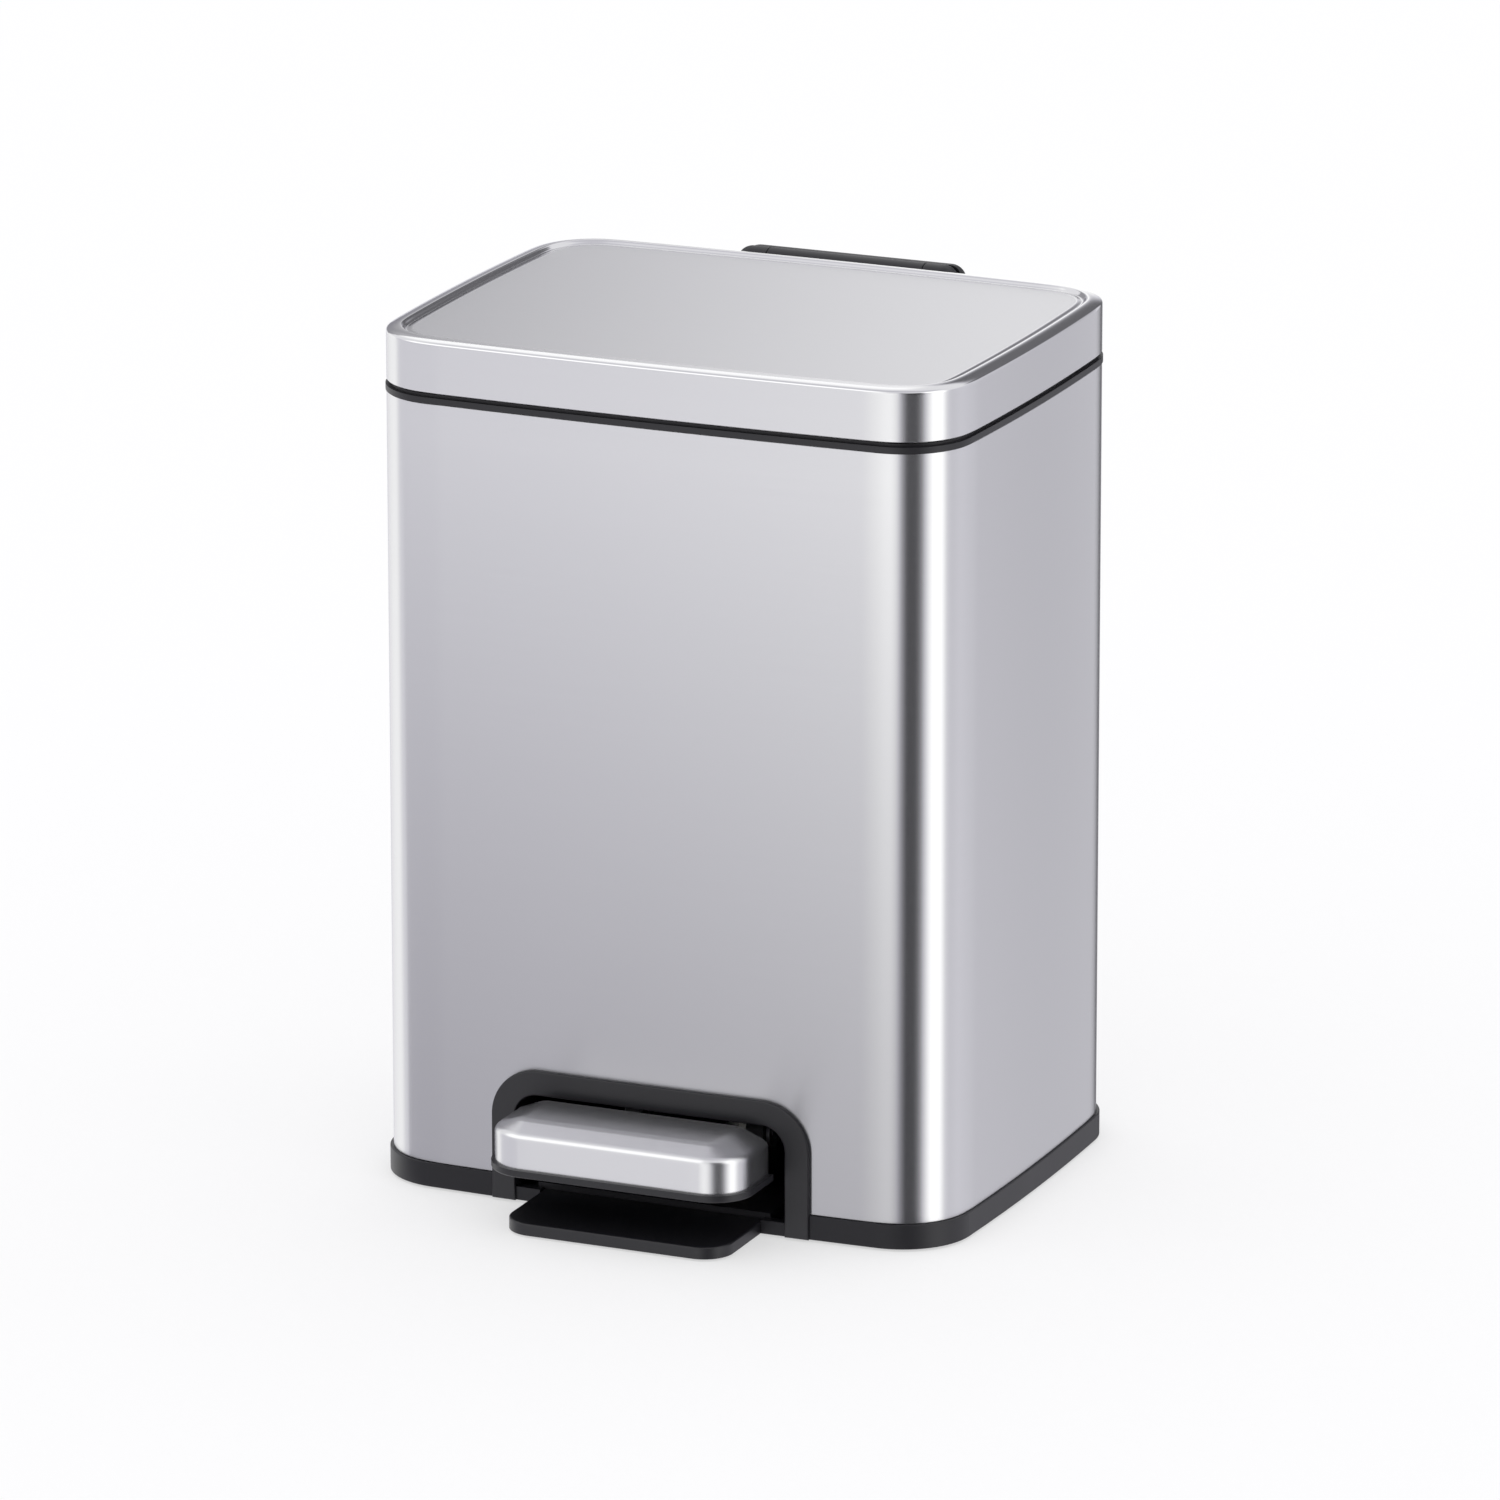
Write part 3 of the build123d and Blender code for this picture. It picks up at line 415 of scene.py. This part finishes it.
# Curves of the rim in millimetres, as (inset, depth below the top): two handles and the end of each.
RIM_CURVES = [
    ((0.0, 1.36), (0.26, 1.02), (0.75, 0.81)),  # round the outer edge to the shoulder
    ((1.8, 0.35), (3.3, 0.0), (4.7, 0.0)),  # up to the crest
    ((5.6, 0.0), (5.8, 1.35), (6.6, 1.35)),  # down to the groove
    ((7.2, 1.35), (7.8, 1.15), (8.6, 1.15)),  # up to the panel's edge
]
NOTCH_HALF = 28.0 * MM
NOTCH_DEPTH = 3.4 * MM
NOTCH_ROOF_DROP = 4.3 * MM
CUT_PAST = 3.0 * MM
PANEL_AREA = 1e-3  # square metres: only the panel's face is larger
WALLS, PANEL, INSIDE, RIM = range(4)


def lid_shell():
    """The pressed lid: hem, upright sides, a rounded raised rim and the sunk panel."""
    low, top = lid_low.z, lid_high.z
    hem, edge = LID_HEM, LID_HEM_EDGE
    profile = [(SHEET + LID_CHAMFER, top - LID_ROOF_DROP), (SHEET, top - LID_ROOF_DROP - LID_CHAMFER)]
    profile += [(SHEET, low + 2 * SHEET), (hem, low + 2 * SHEET), (hem, low + edge), (hem - edge, low)]
    profile += [(edge, low), (0.0, low + edge), (0.0, low + 5 * MM), (0.0, low + 10 * MM)]
    profile += [(0.0, top - RIM_START)]
    for points in RIM_CURVES:
        profile += curve(profile[-1], *[(inset * MM, top - depth * MM) for inset, depth in points])
    piece = skin("lid_cover", plan_rings(profile), close_first=True, close_last=True)
    back = body_high.y
    low_corner = Vector((-NOTCH_HALF, back - NOTCH_DEPTH, low - CUT_PAST))
    high_corner = Vector((NOTCH_HALF, back + CUT_PAST, top - NOTCH_ROOF_DROP))
    cut(piece, box_piece("notch_cutter", low_corner, high_corner))
    for material in (steel_walls, steel_panel, steel_inside, steel_rim):
        piece.data.materials.append(material)
    for face in piece.data.polygons:
        place = WALLS
        if face.normal.z > 0.999 and face.area > PANEL_AREA:
            place = PANEL
        elif face.normal.z < -0.99:
            place = INSIDE
        elif face.center.z > top - RIM_START and face.normal.z > 0.0:
            place = RIM
        face.material_index = place
    return smooth_by_angle(piece)


# ---------------------------------------------------------------- pedal cap
CAP_SIDE_HEIGHT = 11.2 * MM
CAP_CORNER = 13.0 * MM
CAP_TOP_CORNER = 3.0 * MM
CAP_SIDE_SLOPE = 10.0 * MM
CAP_FRONT_SLOPE = 6.5 * MM
CAP_SKIRT = 4.0 * MM  # height of the skirt's lower row of faces
CAP_RIDGE_BEND = 1.9 * MM  # where the bend into the ridge begins, below it
RIDGE_SHARE = 0.24  # of the slope, where that bend ends
BROW_SHARE = 0.8  # of the slope, where the bend into the top begins
TOP_SHARE = 1.22  # where that bend ends, past the top's edge
CAP_SMOOTH = 50.0
ROUND_STEPS = 12


def cap_plan(share):
    """The cap's outline from its back left corner round the front, at a share of the way up the slope."""
    half = cap_high.x - CAP_SIDE_SLOPE * share
    front = cap_low.y + CAP_FRONT_SLOPE * share
    radius = CAP_CORNER + (CAP_TOP_CORNER - CAP_CORNER) * share
    right = [Vector(((half - radius) * k / 6, front)) for k in range(6)]
    for step in range(ROUND_STEPS + 1):
        turn = pi / 2 * step / ROUND_STEPS
        right.append(Vector((half - radius + radius * sin(turn), front + radius - radius * cos(turn))))
    side_start = right[-1].y
    for k in range(1, 5):
        right.append(Vector((half, side_start + (cap_high.y - side_start) * k / 4)))
    return [Vector((-p.x, p.y)) for p in reversed(right[1:])] + right


def round_off(p0, p1, p2, steps):
    """Points of a quadratic curve from p0 to p2 that leaves along the way to p1."""
    points = []
    for step in range(steps + 1):
        t = step / steps
        u = 1 - t
        points.append(tuple(u**2 * a + 2 * t * u * b + t * t * c for a, b, c in zip(p0, p1, p2)))
    return points


def pedal_cap():
    """The pressed cap: upright skirt, soft ridge, three slopes and the top, open at the back and below."""
    low, top = cap_low.z, cap_high.z
    ridge = low + CAP_SIDE_HEIGHT
    rise = top - ridge
    levels = [(0.0, low), (0.0, low + CAP_SKIRT)]
    ridge_end = (RIDGE_SHARE, ridge + RIDGE_SHARE * rise)
    levels += round_off((0.0, ridge - CAP_RIDGE_BEND), (0.0, ridge), ridge_end, 7)
    levels += round_off((BROW_SHARE, ridge + BROW_SHARE * rise), (1.0, top), (TOP_SHARE, top), 6)
    mesh = bpy.data.meshes.new("pedal_cap_cover")
    bm = bmesh.new()
    rows = [[bm.verts.new((p.x, p.y, z)) for p in cap_plan(share)] for share, z in levels]
    for lower, upper in zip(rows, rows[1:]):
        for i in range(len(lower) - 1):
            bm.faces.new((lower[i], lower[i + 1], upper[i + 1], upper[i]))
    bm.faces.new(rows[-1])
    for face in bm.faces:
        face.smooth = True
    bm.to_mesh(mesh)
    bm.free()
    piece = bpy.data.objects.new("pedal_cap_cover", mesh)
    bpy.context.scene.collection.objects.link(piece)
    thick = piece.modifiers.new("sheet", "SOLIDIFY")
    thick.thickness = SHEET
    thick.offset = -1.0
    apply_modifiers(piece)
    piece.data.materials.append(steel_cap)
    return smooth_by_angle(piece, CAP_SMOOTH)


# ---------------------------------------------------------------- camera, floor and light
AZIMUTH = 23.555  # degrees
ELEVATION = 16.114
ROLL = -0.041
DISTANCE = 3.724
LENS = 273.912  # millimetres, as the sensor
SENSOR = 36.0
AIM_HEIGHT = 0.1475
ASIDE = 1.217 * MM  # moves of the camera in its own plane
DOWN = 9.262 * MM


def camera():
    """The camera at the photograph's angle."""
    a, e = radians(AZIMUTH), radians(ELEVATION)
    back = Vector((sin(a) * cos(e), -cos(a) * cos(e), sin(e)))
    right = Vector((cos(a), sin(a), 0.0))
    up = back.cross(right)
    data = bpy.data.cameras.new("camera")
    data.sensor_width = SENSOR
    data.lens = LENS
    data.clip_start = 0.1
    data.clip_end = 100.0
    eye = bpy.data.objects.new("camera", data)
    bpy.context.scene.collection.objects.link(eye)
    turn = Matrix.Rotation(radians(ROLL), 3, back)
    axes = Matrix((turn @ right, turn @ up, back)).transposed()
    place = Vector((0.0, centre_y, AIM_HEIGHT)) + back * DISTANCE + right * ASIDE - up * DOWN
    eye.matrix_world = Matrix.Translation(place) @ axes.to_4x4()
    bpy.context.scene.camera = eye


def sheet_piece(name, corners):
    """A flat sheet through four or more points."""
    mesh = bpy.data.meshes.new(name)
    bm = bmesh.new()
    bm.faces.new([bm.verts.new(point) for point in corners])
    bm.to_mesh(mesh)
    bm.free()
    piece = bpy.data.objects.new(name, mesh)
    bpy.context.scene.collection.objects.link(piece)
    return piece


FLOOR_RADIUS = 8.0
FLOOR_SIDES = 72
FLOOR_GLOW = 0.55


def floor():
    """A pale floor. The camera sees it a little lighter than it is, with the object's shadow kept."""
    turns = [radians(360 / FLOOR_SIDES * k) for k in range(FLOOR_SIDES)]
    points = [Vector((FLOOR_RADIUS * sin(turn), FLOOR_RADIUS * cos(turn), 0.0)) for turn in turns]
    piece = sheet_piece("floor", points)
    material, tree, shader = new_material("floor")
    shader.inputs["Base Color"].default_value = (1.0, 1.0, 1.0, 1.0)
    shader.inputs["Roughness"].default_value = 1.0
    shader.inputs["Specular IOR Level"].default_value = 0.0
    glow = node(tree, "ShaderNodeEmission", {"Color": (1.0, 1.0, 1.0, 1.0), "Strength": 1.0})
    rays = node(tree, "ShaderNodeLightPath")
    share = math_node(tree, "MULTIPLY", (rays, "Is Camera Ray"), FLOOR_GLOW)
    both = node(tree, "ShaderNodeMixShader")
    link(tree, share, 0, both, "Fac")
    link(tree, shader, "BSDF", both, 1)
    link(tree, glow, "Emission", both, 2)
    link(tree, both, "Shader", tree.nodes["Material Output"], "Surface")
    piece.data.materials.append(material)
    piece.visible_glossy = False


def soft_step(tree, value, low, high):
    """1 over high and 0 under low, smooth between."""
    limits = {1: low, 2: high, 3: 0.0, 4: 1.0}
    made = node(tree, "ShaderNodeMapRange", limits, interpolation_type="SMOOTHSTEP")
    link(tree, value, 0, made, 0)
    return made


def band(tree, value, low, high, soft):
    """1 between low and high, with soft edges."""
    up = soft_step(tree, value, low - soft, low + soft)
    down = soft_step(tree, value, high - soft, high + soft)
    return math_node(tree, "SUBTRACT", (up, 0), (down, 0))


# Light of the studio's ring of cards, which the upright metal reflects: (azimuth in degrees, level).
# Azimuth 0 is in front of the object and 90 on its right.
RING = [
    (-180, 0.14),
    (-170, 0.40),
    (-163, 1.00),
    (-158, 1.40),
    (-155, 0.82),
    (-150, 0.80),
    (-110, 1.16),
    (-95, 1.20),
    (-85, 0.81),
    (-32, 0.79),
    (-18, 0.97),
    (-9, 1.25),
    (2, 1.27),
    (11, 1.05),
    (19, 0.45),
    (27, 0.08),
    (43, 0.06),
    (51, 0.24),
    (59, 0.80),
    (68, 1.40),
    (77, 1.70),
    (87, 1.50),
    (95, 0.88),
    (104, 0.74),
    (125, 0.81),
    (148, 0.77),
    (160, 0.585),
    (164, 0.86),
    (168, 0.86),
    (171, 0.35),
    (175, 0.14),
    (180, 0.14),
]
# Cards higher up, for the lid's rim and the pedal: (azimuth from, to, elevation from, to, edge, level).
# Azimuths over 180 go on round the back.
HIGH_CARDS = [
    (150.0, 201.0, 8.0, 32.0, 4.0, 0.16),
    (202.0, 212.0, 6.0, 20.0, 3.0, 1.42),
    (200.0, 224.0, 24.0, 52.0, 4.0, 1.36),
    (-72.0, -12.0, 14.0, 48.0, 6.0, 1.55),
    (14.0, 54.0, -10.0, 34.0, 6.0, 0.12),
    (56.0, 94.0, -10.0, 50.0, 6.0, 1.60),
]
RING_TOP = 14.0  # elevation where the ring of cards ends
ZENITH = 62.0  # elevation where the dimmer middle of the dome begins
ZENITH_LEVEL = 0.72
STEP_EDGE = 8.0  # half the width of these two steps
BACK_AZIMUTH = 140.0  # cards that reach past this use azimuths from -90 to 270
RAMP_FULL = 2.0  # light of a ramp colour of 1
SHADE_TINT = (0.985, 0.975, 1.045, 1.0)  # colour of the darker parts of the studio
TINT_NONE = 1.1  # light with no tint
TINT_FULL = 0.8  # light with the full tint


def studio_light():
    """A pale dome with bright and dark cards that the metal reflects; plain white for other rays."""
    world = bpy.data.worlds.new("studio")
    bpy.context.scene.world = world
    world.use_nodes = True
    world.cycles.sampling_method = "NONE"
    tree = world.node_tree
    background = tree.nodes["Background"]
    place = node(tree, "ShaderNodeTexCoord")
    parts = node(tree, "ShaderNodeSeparateXYZ")
    link(tree, place, "Generated", parts, 0)
    back = math_node(tree, "MULTIPLY", (parts, 1), -1.0)
    azimuth = math_node(tree, "ARCTAN2", (parts, 0), (back, 0))
    below = math_node(tree, "LESS_THAN", (azimuth, 0), radians(-90.0))
    turned = math_node(tree, "MULTIPLY_ADD", (below, 0), 2 * pi, (azimuth, 0))
    height = math_node(tree, "ARCSINE", (parts, 2))

    share = node(tree, "ShaderNodeMapRange", {1: -pi, 2: pi, 3: 0.0, 4: 1.0})
    link(tree, azimuth, 0, share, 0)
    ramp = node(tree, "ShaderNodeValToRGB")
    stops = ramp.color_ramp.elements
    stops[0].position, stops[1].position = 0.0, 1.0
    for angle, light in RING[1:-1]:
        stops.new((angle + 180) / 360)
    for stop, (angle, light) in zip(stops, RING):
        shade = light / RAMP_FULL
        stop.color = (shade, shade, shade, 1.0)
    link(tree, share, 0, ramp, "Fac")
    ring = math_node(tree, "MULTIPLY", (ramp, 0), RAMP_FULL)

    zenith = soft_step(tree, height, radians(ZENITH - STEP_EDGE), radians(ZENITH + STEP_EDGE))
    level = math_node(tree, "MULTIPLY_ADD", (zenith, 0), ZENITH_LEVEL - 1.0, 1.0)
    for left, right, low, high, edge, light in HIGH_CARDS:
        use = turned if right > BACK_AZIMUTH else azimuth
        across = band(tree, use, radians(left), radians(right), radians(edge))
        upright = band(tree, height, radians(low), radians(high), radians(edge))
        cover = math_node(tree, "MULTIPLY", (across, 0), (upright, 0))
        change = math_node(tree, "SUBTRACT", light, (level, 0))
        level = math_node(tree, "MULTIPLY_ADD", (change, 0), (cover, 0), (level, 0))
    upper = soft_step(tree, height, radians(RING_TOP - STEP_EDGE), radians(RING_TOP + STEP_EDGE))
    lift = math_node(tree, "SUBTRACT", (level, 0), (ring, 0))
    level = math_node(tree, "MULTIPLY_ADD", (lift, 0), (upper, 0), (ring, 0))

    rays = node(tree, "ShaderNodeLightPath")
    plain = math_node(tree, "SUBTRACT", (level, 0), 1.0)
    total = math_node(tree, "MULTIPLY_ADD", (plain, 0), (rays, "Is Glossy Ray"), 1.0)
    link(tree, total, 0, background, "Strength")
    dim = node(tree, "ShaderNodeMapRange", {1: TINT_NONE, 2: TINT_FULL, 3: 0.0, 4: 1.0})
    link(tree, total, 0, dim, 0)
    tint = node(tree, "ShaderNodeMix", {6: (1.0, 1.0, 1.0, 1.0), 7: SHADE_TINT}, data_type="RGBA")
    link(tree, dim, 0, tint, 0)
    link(tree, tint, 2, background, "Color")


def gauze(name, corners, axis, near, far, least, bend=1.0, side=None):
    """A grey gauze that only glossy rays meet, from least at near to clear at far along axis. Standing off
    in the studio it darkens reflections like a flag; set close before a face it is painted shade on that
    face's reflections.

    bend curves that change, and side is a pair of places in X between which the gauze fades out.
    """
    piece = sheet_piece(name, corners)
    material = bpy.data.materials.new(name)
    material.use_nodes = True
    tree = material.node_tree
    tree.nodes.remove(tree.nodes["Principled BSDF"])
    place = node(tree, "ShaderNodeTexCoord")
    parts = node(tree, "ShaderNodeSeparateXYZ")
    link(tree, place, "Object", parts, 0)
    way = node(tree, "ShaderNodeMapRange", {1: near, 2: far, 3: 0.0, 4: 1.0})
    link(tree, parts, axis, way, 0)
    bent = math_node(tree, "POWER", (way, 0), bend)
    shade = math_node(tree, "MULTIPLY_ADD", (bent, 0), 1.0 - least, least)
    if side:
        fade = node(tree, "ShaderNodeMapRange", {1: side[0], 2: side[1], 3: 0.0, 4: 1.0})
        link(tree, parts, 0, fade, 0)
        clear = math_node(tree, "SUBTRACT", 1.0, (shade, 0))
        shade = math_node(tree, "MULTIPLY_ADD", (clear, 0), (fade, 0), (shade, 0))
    tint = node(tree, "ShaderNodeMix", {6: SHADE_TINT, 7: (1.0, 1.0, 1.0, 1.0)}, data_type="RGBA")
    link(tree, shade, 0, tint, 0)
    dim = node(tree, "ShaderNodeVectorMath", operation="SCALE")
    link(tree, tint, 2, dim, 0)
    link(tree, shade, 0, dim, "Scale")
    veil = node(tree, "ShaderNodeBsdfTransparent")
    link(tree, dim, 0, veil, "Color")
    link(tree, veil, "BSDF", tree.nodes["Material Output"], "Surface")
    piece.data.materials.append(material)
    piece.visible_camera = False
    piece.visible_diffuse = False
    piece.visible_shadow = False
    piece.visible_transmission = False


def upright_corners(left, right, low, high, y):
    """Corners of an upright sheet that faces the front."""
    return [Vector((x, y, z)) for x, z in ((left, low), (right, low), (right, high), (left, high))]


# Painted shade: a grey sheet a millimetre before the front face darkens what that face reflects, most near
# the floor.
FRONT_SHADE_VEIL_GAP = 1.0 * MM
FRONT_SHADE_VEIL_TOP = 0.255
REAR_GAUZE_GAP = 0.45
X_AXIS, Z_AXIS = 0, 2


def gauzes():
    """One just before the front face, which is painted shade on that face's reflections, darker towards
    the floor, and one that stands behind on the left.
    """
    # The front sheet is painted shade on the front face's reflections, darkest at the bottom.
    front = upright_corners(-0.11, 0.10, 0.0, FRONT_SHADE_VEIL_TOP, body_low.y - FRONT_SHADE_VEIL_GAP)
    gauze("front_painted_shade_veil", front, Z_AXIS, 0.0, FRONT_SHADE_VEIL_TOP, 0.615, bend=1.35, side=(0.085, 0.10))
    rear = upright_corners(-1.2, 0.9, 0.30, 0.80, lid_high.y + REAR_GAUZE_GAP)
    gauze("rear_gauze", rear, X_AXIS, -0.42, -0.12, 0.38)


# ---------------------------------------------------------------- build
dress_cad_nodes()

sleeve = body_shell()
sleeve.data.materials.clear()
sleeve.data.materials.append(steel_walls)
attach(sleeve, "root")
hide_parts("body_shell")

cover = lid_shell()
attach(cover, "lid")
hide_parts("lid_shell")

cap = pedal_cap()
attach(cap, "lever")
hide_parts("pedal_cap")

camera()
floor()
studio_light()
gauzes()
bpy.context.scene.view_settings.view_transform = "Standard"
